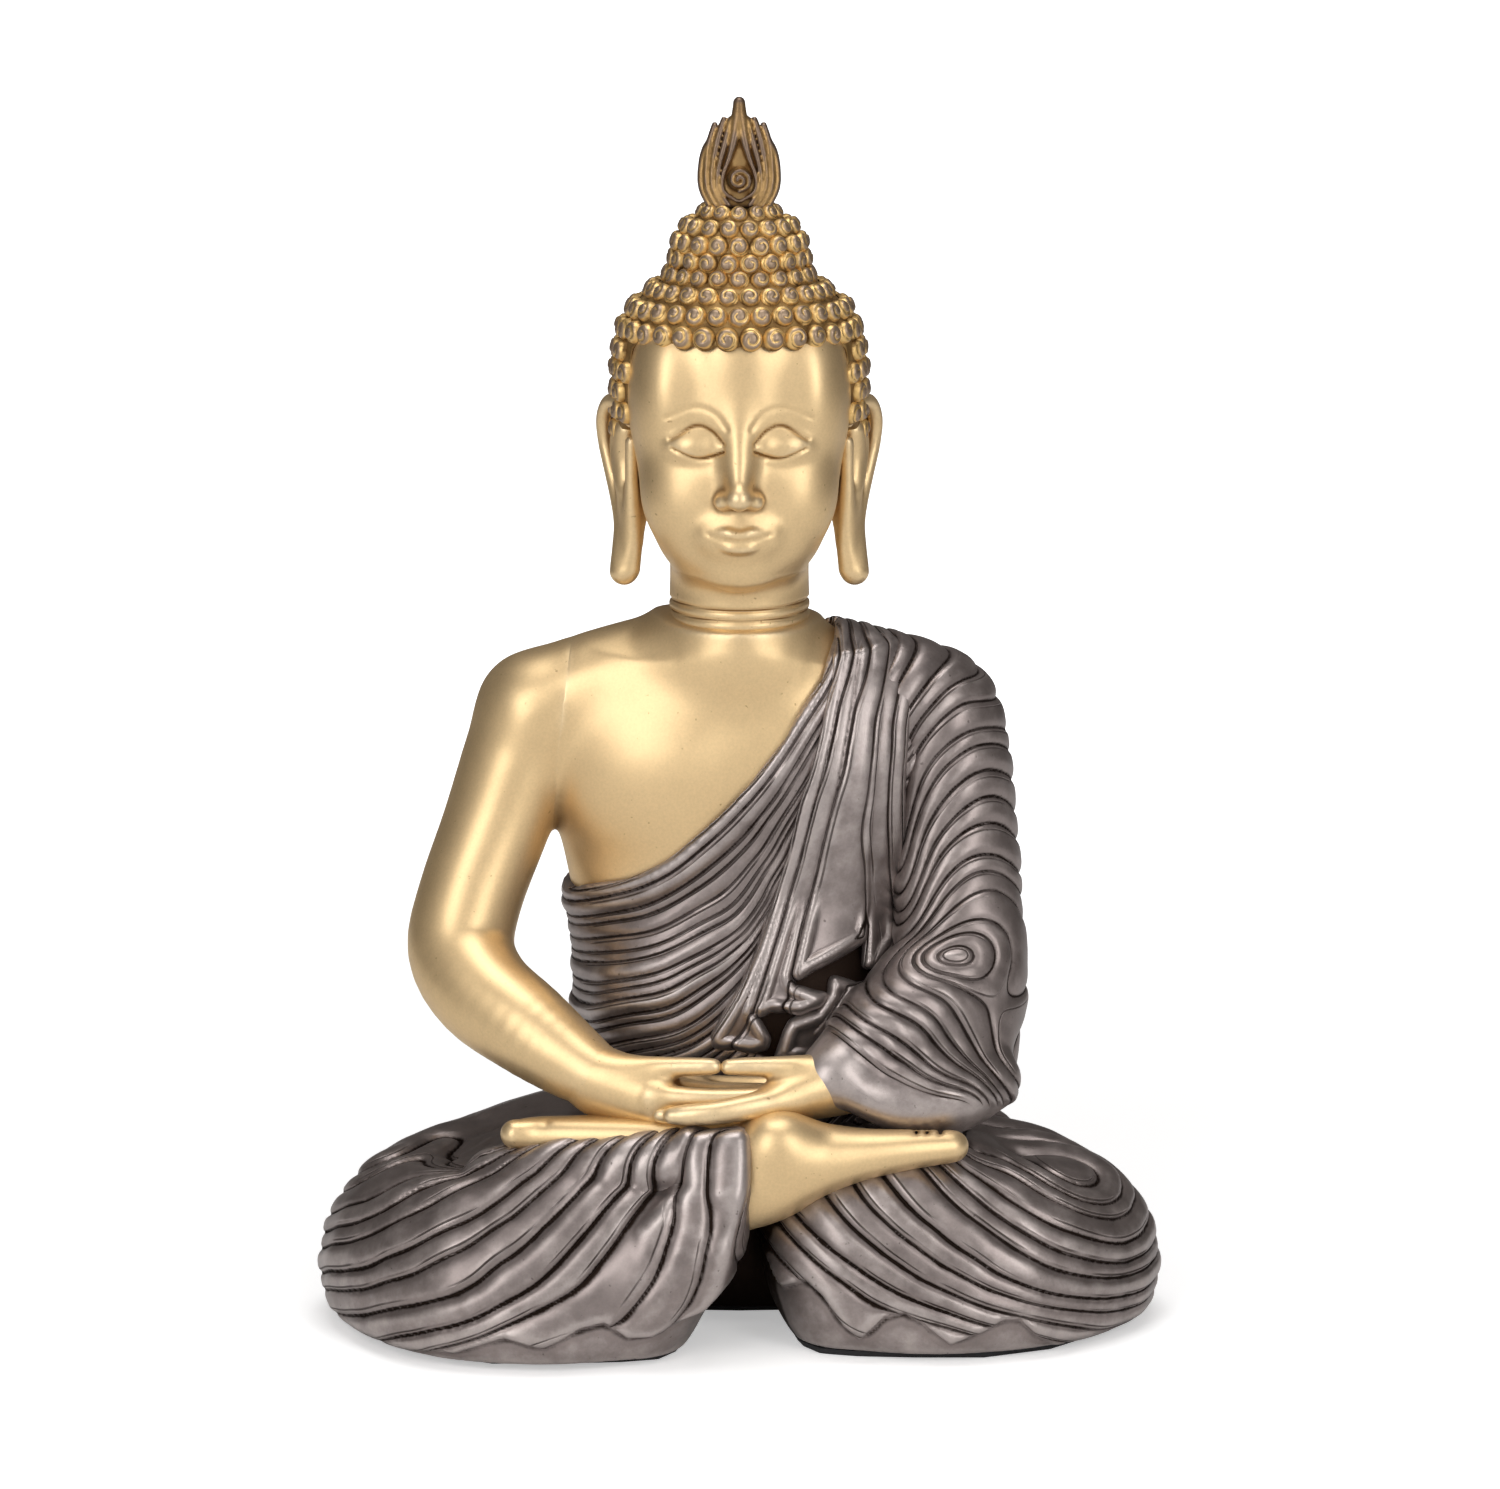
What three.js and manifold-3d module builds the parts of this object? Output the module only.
// Seated Buddha statue in painted polyresin, 300 mm tall, legs folded and hands in the lap.
// The figure is a set of castings glued together on steel dowels. The lap and the torso are hollow and open
// into each other, and a board with a felt sheet closes the underside.
// Millimetres, +Z up. The figure faces -Y, so its own right side is at -X. The origin is the middle of the felt.
import * as THREE from "three";
import { mergeVertices } from "three/addons/utils/BufferGeometryUtils.js";
import Module from "manifold-3d";

const wasm = await Module();
wasm.setup();

// Driving dimensions
const HEIGHT = 300; // felt to the tip of the flame
const KNEE_SPAN = 206;
const LAP_DEPTH = 116;
const WALL = 4.5; // of the hollow castings
const CLOTH = 3; // how far the robe stands off the skin
const SASH = 2.6; // how far the folded sash stands off the robe
const GAP = 0.3; // glue line between two castings
const FELT = 1.5;
const FELT_INSET = 3; // from the lap's outline
const BOARD = 4;
const VENT = 16; // hole between the lap's hollow and the torso's

// Levels above the table
const RIM_Z = FELT + GAP;
const LAP_TOP = 51;
const WAIST_FLOOR_Z = 60;
const SHOULDER_Z = 150;
const NECK_Z = 168;
const CHIN_Z = 182;
const NAPE_Z = 194; // lower edge of the hair
const HAIRLINE_Z = 243;
const CROWN_Z = 273;
const SASH_BACK_Z = 100; // lower end of the sash behind
const TORSO_ROOF_Z = 140; // top of the hollow in the torso

// Depths, towards the back from the origin
const SPINE_Y = 22;
const HEAD_Y = 9;

// ---------------------------------------------------------------- solids

// A closed geometry as a solid.
function solid(geometry) {
  const bare = geometry.clone();
  bare.deleteAttribute("normal");
  bare.deleteAttribute("uv");
  const merged = mergeVertices(bare, 1e-4);
  const triVerts = new Uint32Array(merged.index.array);
  const vertProperties = merged.attributes.position.array;
  return new wasm.Manifold(new wasm.Mesh({ numProp: 3, vertProperties, triVerts }));
}

function union(...solids) {
  return solids.reduce((a, b) => a.add(b));
}

function cut(body, ...tools) {
  return tools.reduce((a, b) => a.subtract(b), body);
}

// A skin over a row of closed rings that all have the same number of points, with a fan over each end.
function skin(rings) {
  const sides = rings[0].length;
  const points = rings.flat();
  const faces = [];
  for (let r = 0; r + 1 < rings.length; r++) {
    for (let s = 0; s < sides; s++) {
      const a = r * sides + s;
      const b = r * sides + ((s + 1) % sides);
      faces.push(a, b, a + sides, b, b + sides, a + sides);
    }
  }
  for (const [ring, first] of [[0, 0], [rings.length - 1, (rings.length - 1) * sides]]) {
    const centre = new THREE.Vector3();
    rings[ring].forEach((p) => centre.add(p));
    points.push(centre.divideScalar(sides));
    for (let s = 0; s < sides; s++) {
      const a = first + s;
      const b = first + ((s + 1) % sides);
      if (ring) faces.push(a, b, points.length - 1);
      else faces.push(b, a, points.length - 1);
    }
  }
  return solid(new THREE.BufferGeometry().setFromPoints(points).setIndex(faces));
}

// Smooth values through a list of rows of numbers, three columns at a time.
function smoothRows(rows) {
  const curves = [];
  for (let c = 0; c < rows[0].length; c += 3) {
    const points = rows.map((r) => new THREE.Vector3(r[c], r[c + 1] ?? 0, r[c + 2] ?? 0));
    curves.push(new THREE.CatmullRomCurve3(points));
  }
  return (t) => curves.flatMap((curve) => curve.getPoint(t).toArray());
}

// A body of level sections. A section is [height, half width, half depth, centre x, centre y], and it is rounder
// or squarer with its power. grow moves the whole surface out.
function stack(sections, { sides = 24, steps = 10, power = 2.2, grow = 0 } = {}) {
  const at = smoothRows(sections);
  const rings = [];
  for (let i = 0; i <= steps; i++) {
    const [z, wide, deep, x, y] = at(i / steps);
    const lift = i === 0 ? -grow : i === steps ? grow : 0;
    const ring = [];
    for (let s = 0; s < sides; s++) {
      const turn = (s / sides) * 2 * Math.PI;
      const bulge = (v) => Math.sign(v) * Math.abs(v) ** (2 / power);
      ring.push(new THREE.Vector3(
        x + (wide + grow) * bulge(Math.cos(turn)),
        y + (deep + grow) * bulge(Math.sin(turn)),
        z + lift,
      ));
    }
    rings.push(ring);
  }
  return skin(rings);
}

// A round-ended limb along a smooth path. A station is [x, y, z, half width, half height].
function limb(stations, { sides = 12, steps = 8, grow = 0 } = {}) {
  const place = smoothRows(stations.map((s) => s.slice(0, 3)));
  const size = smoothRows(stations.map((s) => [s[3], s[4] ?? s[3], 0]));
  const rings = [];
  const step = 1e-3;
  let across = new THREE.Vector3(1, 0, 0);
  const addRing = (t, slide, share) => {
    const centre = new THREE.Vector3(...place(t));
    const [wide, tall] = size(t);
    const along = new THREE.Vector3(...place(Math.min(1, t + step)));
    along.sub(new THREE.Vector3(...place(Math.max(0, t - step)))).normalize();
    if (!rings.length && Math.abs(along.z) < 0.7) across.crossVectors(along, new THREE.Vector3(0, 0, 1));
    across = across.addScaledVector(along, -across.dot(along)).normalize();
    const up = new THREE.Vector3().crossVectors(across, along);
    centre.addScaledVector(along, slide * (Math.min(wide, tall) + grow));
    const ring = [];
    for (let s = 0; s < sides; s++) {
      const turn = (s / sides) * 2 * Math.PI;
      ring.push(centre.clone()
        .addScaledVector(across, Math.cos(turn) * (wide + grow) * share)
        .addScaledVector(up, -Math.sin(turn) * (tall + grow) * share));
    }
    rings.push(ring);
  };
  const endRings = sides > 12 ? 3 : 2;
  const flat = 0.04; // the first ring's turn, just off the tip
  const endTurn = (i) => flat + (i / endRings) * (0.5 * Math.PI - flat);
  for (let i = 0; i <= endRings; i++) addRing(0, -Math.cos(endTurn(i)), Math.sin(endTurn(i)));
  for (let i = 1; i < steps; i++) addRing(i / steps, 0, 1);
  for (let i = endRings; i >= 0; i--) addRing(1, Math.cos(endTurn(i)), Math.sin(endTurn(i)));
  return skin(rings);
}

function ellipsoid([x, y, z], [rx, ry, rz], { grow = 0, sides = 18 } = {}) {
  const ball = new THREE.SphereGeometry(1, sides, sides / 2);
  ball.scale(rx + grow, ry + grow, rz + grow).translate(x, y, z);
  return solid(ball);
}

function box([x0, y0, z0], [x1, y1, z1]) {
  const block = new THREE.BoxGeometry(x1 - x0, y1 - y0, z1 - z0);
  block.translate((x0 + x1) / 2, (y0 + y1) / 2, (z0 + z1) / 2);
  return solid(block);
}

// A round rod from one point to another.
function rod(from, to, radius, sides = 12) {
  const a = new THREE.Vector3(...from);
  const b = new THREE.Vector3(...to);
  const bar = new THREE.CylinderGeometry(radius, radius, a.distanceTo(b), sides);
  const turn = new THREE.Quaternion().setFromUnitVectors(new THREE.Vector3(0, 1, 0), b.clone().sub(a).normalize());
  bar.applyQuaternion(turn).translate(...a.add(b).divideScalar(2).toArray());
  return solid(bar);
}

// An outline of [x, z] corners, pushed through from one depth to another.
function prism(outline, fromY, toY) {
  const shape = new THREE.Shape(outline.map(([x, z]) => new THREE.Vector2(x, z)));
  const block = new THREE.ExtrudeGeometry(shape, { depth: toY - fromY, bevelEnabled: false });
  return solid(block.rotateX(Math.PI / 2).translate(0, toY, 0));
}

const FAR = 200; // past everything

// ---------------------------------------------------------------- the body's own forms, before they are cut apart

// The crossed legs under the robe: one sweep from each hip round the knee to the ankle.
function legForm(side, grow = 0) {
  const shin = side < 0 ? 0 : 5; // the figure's right shin lies in front of its left
  const knee = KNEE_SPAN / 2;
  return limb([
    [side * 30, 30, 18, 28, 34],
    [side * (knee - 39), 19, 17, 25, 31],
    [side * (knee - 23), -6, 13, 23, 25],
    [side * (knee - 40), -32.7 + shin, 17, 24, 29],
    [side * 28, -35 + shin, 18, 21, 32],
  ], { sides: 16, steps: 10, grow });
}

function lapForm(grow = 0) {
  const seat = ellipsoid([0, 27, 17], [60, LAP_DEPTH / 2 - 27, 37], { grow, sides: 18 });
  const middle = ellipsoid([0, 12, 18], [64, 28, LAP_TOP - 20], { grow, sides: 16 });
  const underShins = [-1, 1].map((side) => ellipsoid([side * 44, -8, 17], [32, 26, 31], { grow, sides: 14 }));
  return union(legForm(-1, grow), legForm(1, grow), seat, middle, ...underShins);
}

// Hips to the root of the neck.
function torsoForm(grow = 0) {
  const trunk = stack([
    [34, 41, 25, 0, SPINE_Y],
    [60, 40, 24, 0, SPINE_Y],
    [86, 39.5, 23.5, 0, SPINE_Y],
    [110, 43.5, 24.5, 0, SPINE_Y - 0.5],
    [134, 48, 24, 0, SPINE_Y - 1],
    [SHOULDER_Z, 45, 21, 0, SPINE_Y - 2],
    [161, 34, 17.5, 0, SPINE_Y - 5],
    [NECK_Z + 3, 22, 16, 0, HEAD_Y + 4],
  ], { grow, sides: 20, steps: 9 });
  const yoke = limb([
    [-50, 19, 146, 14.5, 14],
    [-26, 18, 156, 16, 14.5],
    [0, 16, 160, 17, 15],
    [26, 18, 156, 16, 14.5],
    [50, 19, 146, 14.5, 14],
  ], { grow, sides: 12, steps: 7 });
  return union(trunk, yoke);
}

function rightArmForm(grow = 0) {
  return limb([
    [-51, 19, 146, 14.5, 14.5],
    [-57.5, 18, 125, 13.2, 13.6],
    [-65, 14, 104, 12.4, 12.8],
    [-67.5, 3, 86.5, 13, 13],
    [-54, -12, 77, 11.2, 11],
    [-38, -25, 70, 8, 8],
  ], { grow, sides: 12, steps: 10 });
}

// The draped arm: the sleeve falls from the forearm onto the thigh.
function sleeveForm(grow = 0) {
  const arm = limb([
    [50, 19, 144, 15.5, 15.5],
    [52.5, 18, 124, 15, 16],
    [54.5, 14, 102, 15, 16],
    [55, 5, 84, 15.5, 16],
    [46, -11, 73, 13, 13],
    [33, -22, 70, 10, 9],
  ], { grow, sides: 12, steps: 10 });
  const fall = limb([
    [57, 8, 78, 14, 16],
    [56, -1, 62, 15, 16],
    [50, -12, 57, 13, 12],
  ], { grow, sides: 12, steps: 4 });
  return union(arm, fall);
}

function skullForm(grow = 0) {
  return stack([
    [CHIN_Z, 9, 8, 0, HEAD_Y - 13],
    [186, 16.5, 15, 0, HEAD_Y - 9],
    [194, 22, 20.5, 0, HEAD_Y - 5],
    [204, 24.8, 24, 0, HEAD_Y - 3],
    [216, 25.6, 26, 0, HEAD_Y - 1],
    [230, 25.6, 27, 0, HEAD_Y],
    [243, 24, 26, 0, HEAD_Y + 1],
    [252, 17, 20, 0, HEAD_Y + 2],
    [256, 8, 10, 0, HEAD_Y + 2],
  ], { grow, sides: 20, steps: 9 });
}

function neckForm(grow = 0) {
  return stack([
    [NECK_Z - 4, 18.5, 16, 0, HEAD_Y + 4],
    [176, 17.2, 15.5, 0, HEAD_Y + 4],
    [190, 17, 16, 0, HEAD_Y + 5],
    [206, 17, 16, 0, HEAD_Y + 6],
  ], { grow, sides: 16, steps: 3, power: 2 });
}

// Curls over the skull, and the rise on the crown under the flame.
function hairForm(grow = 0) {
  const cap = ellipsoid([0, HEAD_Y + 4, 225], [32, 33, 33], { grow, sides: 18 });
  const rise = stack([
    [236, 31, 32, 0, HEAD_Y + 2],
    [246, 27.5, 28, 0, HEAD_Y + 1],
    [254, 21, 21.5, 0, HEAD_Y],
    [262, 16.5, 17, 0, HEAD_Y - 1],
    [268, 13.5, 14, 0, HEAD_Y - 1],
    [CROWN_Z, 9, 9, 0, HEAD_Y - 1],
  ], { grow, sides: 18, steps: 6 });
  return union(cap, rise);
}

// ---------------------------------------------------------------- where the robe lies

// The open edge of the robe, from the left side of the neck down across the chest to under the right arm.
const NECKLINE = [[26, 176], [24.5, 166], [14, 149], [0, 131], [-14, 117.5], [-28, 109.5], [-44, 105], [-70, 103]];

function bareSideOfRobe() {
  const underArmZ = NECKLINE.at(-1)[1];
  return prism([...NECKLINE, [-FAR, underArmZ], [-FAR, FAR], [NECKLINE[0][0], FAR]], -FAR, FAR);
}

// The folded sash: over the left shoulder, narrow at the top, its stepped end at the belly.
const SASH_OUTLINE = [
  [27, 182], [45, 182], [42.5, 140], [42, 104], [36, 98], [30, 93], [20, 86],
  [14, 78], [-6, 76], [0, 92], [9, 118], [18, 144], [24.5, 165],
];

function sashForm(grow = 0) {
  const [middleX, middleZ] = [22, 125];
  const outline = SASH_OUTLINE.map(([x, z]) => [
    x + Math.sign(x - middleX) * grow,
    z + Math.sign(z - middleZ) * grow,
  ]);
  return torsoForm(CLOTH + SASH + grow).intersect(prism(outline, -FAR, FAR));
}

// ---------------------------------------------------------------- dowels

const DOWELS = {
  finial_dowel: { from: [0, HEAD_Y - 1, 264], to: [0, HEAD_Y - 1, 284], radius: 1.5 },
  neck_dowel: { from: [0, 14, 154], to: [0, 14, 196], radius: 3 },
  right_shoulder_dowel: { from: [-40, 19, 145], to: [-58, 19, 139], radius: 2 },
  left_shoulder_dowel: { from: [41, 19, 145], to: [58, 19, 139], radius: 2 },
  right_wrist_dowel: { from: [-45, -20, 73], to: [-28, -32, 67.5], radius: 1.2 },
  left_wrist_dowel: { from: [41, -16, 72], to: [25, -28, 67.5], radius: 1.2 },
  right_waist_dowel: { from: [-20, 27, 42], to: [-20, 27, WAIST_FLOOR_Z - 1], radius: 2 },
  left_waist_dowel: { from: [20, 27, 42], to: [20, 27, WAIST_FLOOR_Z - 1], radius: 2 },
};

function dowel(name) {
  const { from, to, radius } = DOWELS[name];
  return rod(from, to, radius);
}

// The hole for a dowel, a little wider and longer than it.
function hole(name) {
  const { from, to, radius } = DOWELS[name];
  const a = new THREE.Vector3(...from);
  const b = new THREE.Vector3(...to);
  const over = b.clone().sub(a).normalize().multiplyScalar(GAP);
  return rod(a.sub(over).toArray(), b.add(over).toArray(), radius + GAP);
}

// ---------------------------------------------------------------- castings

const ventHole = () => rod([0, SPINE_Y, 20], [0, SPINE_Y, WAIST_FLOOR_Z + 2], VENT / 2, 16);
const tableSide = (z) => box([-FAR, -FAR, -FAR], [FAR, FAR, z]);

function makeLap() {
  const roofInside = LAP_TOP - WALL - 2;
  const hollow = lapForm(-WALL).subtract(box([-FAR, -FAR, roofInside], [FAR, FAR, FAR]));
  return cut(lapForm(), tableSide(RIM_Z), hollow, ventHole(), hole("right_waist_dowel"), hole("left_waist_dowel"));
}

function makeTorso() {
  const hollow = cut(torsoForm(-WALL), tableSide(WAIST_FLOOR_Z), box([-FAR, -FAR, TORSO_ROOF_Z], [FAR, FAR, FAR]));
  return cut(
    torsoForm(), hollow, lapForm(GAP), neckForm(GAP), ventHole(),
    ...["neck_dowel", "right_shoulder_dowel", "left_shoulder_dowel", "right_waist_dowel", "left_waist_dowel"].map(hole),
  );
}

function makeRobeWrap() {
  const outside = torsoForm(CLOTH);
  return cut(
    outside, torsoForm(GAP), bareSideOfRobe(), lapForm(GAP), neckForm(GAP),
    rightArmForm(GAP), hole("left_shoulder_dowel"),
  );
}

function makeSash() {
  return cut(
    sashForm(), torsoForm(CLOTH + GAP), neckForm(GAP), lapForm(GAP), leftHandForm(GAP), rightHandForm(GAP),
    box([-FAR, SPINE_Y, -FAR], [FAR, FAR, SASH_BACK_Z]),
  );
}

function makeRightArm() {
  return cut(
    rightArmForm(), torsoForm(GAP), lapForm(GAP), rightHandForm(GAP), leftFootForm(GAP),
    hole("right_shoulder_dowel"), hole("right_wrist_dowel"),
  );
}

function makeLeftSleeve() {
  const robe = torsoForm(CLOTH + GAP);
  return cut(
    sleeveForm(), robe, sashForm(GAP), lapForm(GAP), leftHandForm(GAP), rightFootForm(GAP), neckForm(GAP),
    hole("left_shoulder_dowel"), hole("left_wrist_dowel"),
  );
}

function makeHead() {
  const nose = limb([[0, -16.5, 221, 2, 2], [0, -19, 211, 2.4, 2.4], [0, -20, 204.5, 3.6, 3]], { sides: 8, steps: 4 });
  const lips = ellipsoid([0, -15.6, 195.5], [7, 3.2, 2.6], { sides: 10 });
  const lids = [-1, 1].map((side) => ellipsoid([side * 10.5, -13.2, 217], [6.4, 4, 3.6], { sides: 10 }));
  return cut(union(skullForm(), neckForm(), nose, lips, ...lids), hole("neck_dowel"));
}

function makeHairCap() {
  const brow = [
    [-27, 170], [-26.5, 226], [-24.5, 236], [-20, 241.5], [-8, HAIRLINE_Z], [8, HAIRLINE_Z],
    [20, 241.5], [24.5, 236], [26.5, 226], [27, 170],
  ];
  const faceOpening = prism(brow, -FAR, 3);
  const belowNape = box([-FAR, -FAR, -FAR], [FAR, FAR, NAPE_Z]);
  return cut(hairForm(), skullForm(GAP), neckForm(GAP), faceOpening, belowNape, hole("finial_dowel"));
}

// A long-lobed ear: a flat plate of this outline, [across, up], standing out from the side of the head.
const EAR = [
  [0, 34], [4, 43], [11, 46], [16, 42], [16, 33], [12.5, 24], [10, 15], [9.5, 6], [7, 0],
  [3, -0.5], [0.5, 5], [1, 20],
];

const EAR_THICK = 2.6;
const EAR_EDGE = 0.8; // bevel round the plate
const EAR_TURN = 0.95; // radians back from facing forwards

function makeEar(side) {
  const curve = new THREE.SplineCurve([...EAR, EAR[0]].map(([x, y]) => new THREE.Vector2(side * x, y)));
  const plate = new THREE.ExtrudeGeometry(new THREE.Shape(curve.getPoints(28).slice(0, -1)), {
    depth: EAR_THICK, bevelThickness: EAR_EDGE, bevelSize: EAR_EDGE, bevelOffset: -EAR_EDGE, bevelSegments: 1,
  });
  plate.rotateX(Math.PI / 2).rotateZ(side * EAR_TURN).translate(side * 25.2, HEAD_Y - 3.5, CHIN_Z - 1);
  return cut(solid(plate), skullForm(GAP), hairForm(GAP), neckForm(GAP));
}

function makeFlame() {
  const body = stack([
    [CROWN_Z - 1, 8.6, 6, 0, HEAD_Y - 1],
    [278, 10, 7, 0, HEAD_Y - 1],
    [284, 9.7, 6.8, 0, HEAD_Y - 1],
    [289, 7.2, 5.4, 0, HEAD_Y - 1],
    [294, 3.4, 3, 0, HEAD_Y - 1],
    [HEIGHT - 1, 1.6, 1.6, 0, HEAD_Y - 1],
    [HEIGHT, 0.6, 0.6, 0, HEAD_Y - 1],
  ], { sides: 14, steps: 9, power: 2 });
  return cut(body, hairForm(GAP), hole("finial_dowel"));
}

// Hands lie palm up, the right in the left, with the thumb tips together.
const FINGERS = 4;
const FINGER_RADIUS = 2.9;
const TIP_SHARE = 0.82; // of the finger's radius

// Four fingers from start to end, each [back, up] from the one in front of it.
function fingerRow(start, end, [back, up], grow) {
  const middle = start.map((value, axis) => (value + end[axis]) / 2);
  return Array.from({ length: FINGERS }, (_, i) => {
    const shift = ([x, y, z], radius) => [x, y + back * i, z + up * i, radius];
    return limb([
      shift(start, FINGER_RADIUS), shift(middle, FINGER_RADIUS), shift(end, FINGER_RADIUS * TIP_SHARE),
    ], { sides: 7, steps: 2, grow });
  });
}

function rightHandForm(grow = 0) {
  const palm = limb([
    [-38, -25, 70, 7.6, 7.6],
    [-27, -31, 68, 8.5, 7.2],
    [-14, -33, 66.5, 9.5, 5.6],
    [-6, -33, 66, 9, 4.6],
  ], { sides: 12, steps: 5, grow });
  const thumb = limb([
    [-28, -36, 71, 3.6], [-16, -40, 73, 3.2], [-6.8, -41, 72.8, 2.8],
  ], { sides: 8, steps: 3, grow });
  const fingers = fingerRow([-10, -40, 66.4], [11, -38.5, 67], [5, -0.3], grow);
  return union(palm, thumb, ...fingers);
}

function leftHandForm(grow = 0) {
  const palm = limb([
    [35, -20, 69, 7.6, 7.6],
    [25, -28, 67.5, 8.5, 7.2],
    [16, -34, 63.5, 9, 5],
    [8, -35, 61.5, 9, 4],
  ], { sides: 12, steps: 5, grow });
  const thumb = limb([
    [24, -34, 71, 3.6], [10, -40, 73.2, 3.2], [-0.8, -41, 72.8, 2.8],
  ], { sides: 8, steps: 3, grow });
  const fingers = fingerRow([8, -43, 62.2], [-14, -42.5, 60.6], [5, -0.2], grow);
  return union(palm, thumb, ...fingers);
}

// Feet lie sole up on the opposite thigh, toes outwards, the great toe in front.
const TOES = 5;
const GREAT_TOE_RADIUS = 3.4;
const TOE_LENGTH = 8;
const TOE_PITCH = 3.4; // from one toe back to the next
const TOE_STEP = 1.4; // how much shorter each toe is than the one before

function toes([tipX, tipY, tipZ], grow) {
  const outwards = Math.sign(tipX);
  return Array.from({ length: TOES }, (_, i) => {
    const size = GREAT_TOE_RADIUS * (i ? 0.8 - 0.07 * i : 1);
    const [x, y] = [tipX - outwards * i * TOE_STEP, tipY + i * TOE_PITCH];
    return limb([[x - outwards * TOE_LENGTH, y, tipZ, size], [x, y, tipZ, size * 0.9]], { sides: 8, steps: 2, grow });
  });
}

function leftFootForm(grow = 0) {
  const sole = limb([
    [6, -33, 53, 8, 6], [-8, -33, 53.5, 8.6, 5.6], [-28, -33, 53.5, 8.8, 5.2], [-46, -33, 53, 8.4, 4.4],
  ], { sides: 12, steps: 6, grow });
  return union(sole, ...toes([-55, -39, 53.5], grow));
}

function rightFootForm(grow = 0) {
  const sole = limb([
    [1, -42, 41, 13, 11], [14, -42, 48, 12, 12], [30, -38, 50, 10.5, 9], [45, -34, 51.5, 8.6, 5],
  ], { sides: 14, steps: 6, grow });
  const heel = ellipsoid([13, -38, 56.5], [7.5, 7.5, 6], { grow, sides: 14 });
  return union(sole, heel, ...toes([54, -40, 52.5], grow));
}

function makeHands() {
  const right = cut(rightHandForm(), lapForm(GAP), leftFootForm(GAP), torsoForm(CLOTH + GAP), hole("right_wrist_dowel"));
  const left = cut(
    leftHandForm(), rightHandForm(GAP), lapForm(GAP), rightFootForm(GAP), leftFootForm(GAP),
    torsoForm(CLOTH + GAP), hole("left_wrist_dowel"),
  );
  return { right, left };
}

// The board fills the lap's open underside, and the felt covers both.
function makeBoard() {
  return lapForm(-WALL - GAP).intersect(box([-FAR, -FAR, RIM_Z], [FAR, FAR, RIM_Z + BOARD]));
}

function makeFelt() {
  return lapForm(-FELT_INSET).intersect(box([-FAR, -FAR, 0], [FAR, FAR, FELT]));
}

// ---------------------------------------------------------------- the statue

const gold = new THREE.MeshStandardMaterial({ color: 0xd9b77c, metalness: 0.85, roughness: 0.34 });
const agedGold = new THREE.MeshStandardMaterial({ color: 0xb89463, metalness: 0.8, roughness: 0.42 });
const bronze = new THREE.MeshStandardMaterial({ color: 0x83766f, metalness: 0.75, roughness: 0.4 });
const steel = new THREE.MeshStandardMaterial({ color: 0x9a9c9f, metalness: 0.9, roughness: 0.35 });
const fibreboard = new THREE.MeshStandardMaterial({ color: 0x8a6a48, metalness: 0, roughness: 0.85 });
const felt = new THREE.MeshStandardMaterial({ color: 0x241f1d, metalness: 0, roughness: 0.95 });

const statue = new THREE.Group();

function place(name, body, material) {
  const made = body.getMesh();
  const geometry = new THREE.BufferGeometry();
  geometry.setAttribute("position", new THREE.BufferAttribute(made.vertProperties.slice(), 3));
  geometry.setIndex(new THREE.BufferAttribute(made.triVerts.slice(), 1));
  geometry.computeVertexNormals();
  const mesh = new THREE.Mesh(geometry, material);
  mesh.name = name;
  statue.add(mesh);
}

const hands = makeHands();
place("felt_base", makeFelt(), felt);
place("base_board", makeBoard(), fibreboard);
place("lap", makeLap(), bronze);
place("torso", makeTorso(), gold);
place("robe_wrap", makeRobeWrap(), bronze);
place("shoulder_sash", makeSash(), bronze);
place("left_sleeve", makeLeftSleeve(), bronze);
place("right_arm", makeRightArm(), gold);
place("right_hand", hands.right, gold);
place("left_hand", hands.left, gold);
place("left_foot", cut(leftFootForm(), lapForm(GAP), rightFootForm(GAP)), gold);
place("right_foot", cut(rightFootForm(), lapForm(GAP)), gold);
place("head", makeHead(), gold);
place("hair_cap", makeHairCap(), agedGold);
place("right_ear", makeEar(-1), gold);
place("left_ear", makeEar(1), gold);
place("flame_finial", makeFlame(), agedGold);
Object.keys(DOWELS).forEach((name) => place(name, dowel(name), steel));

export default statue;
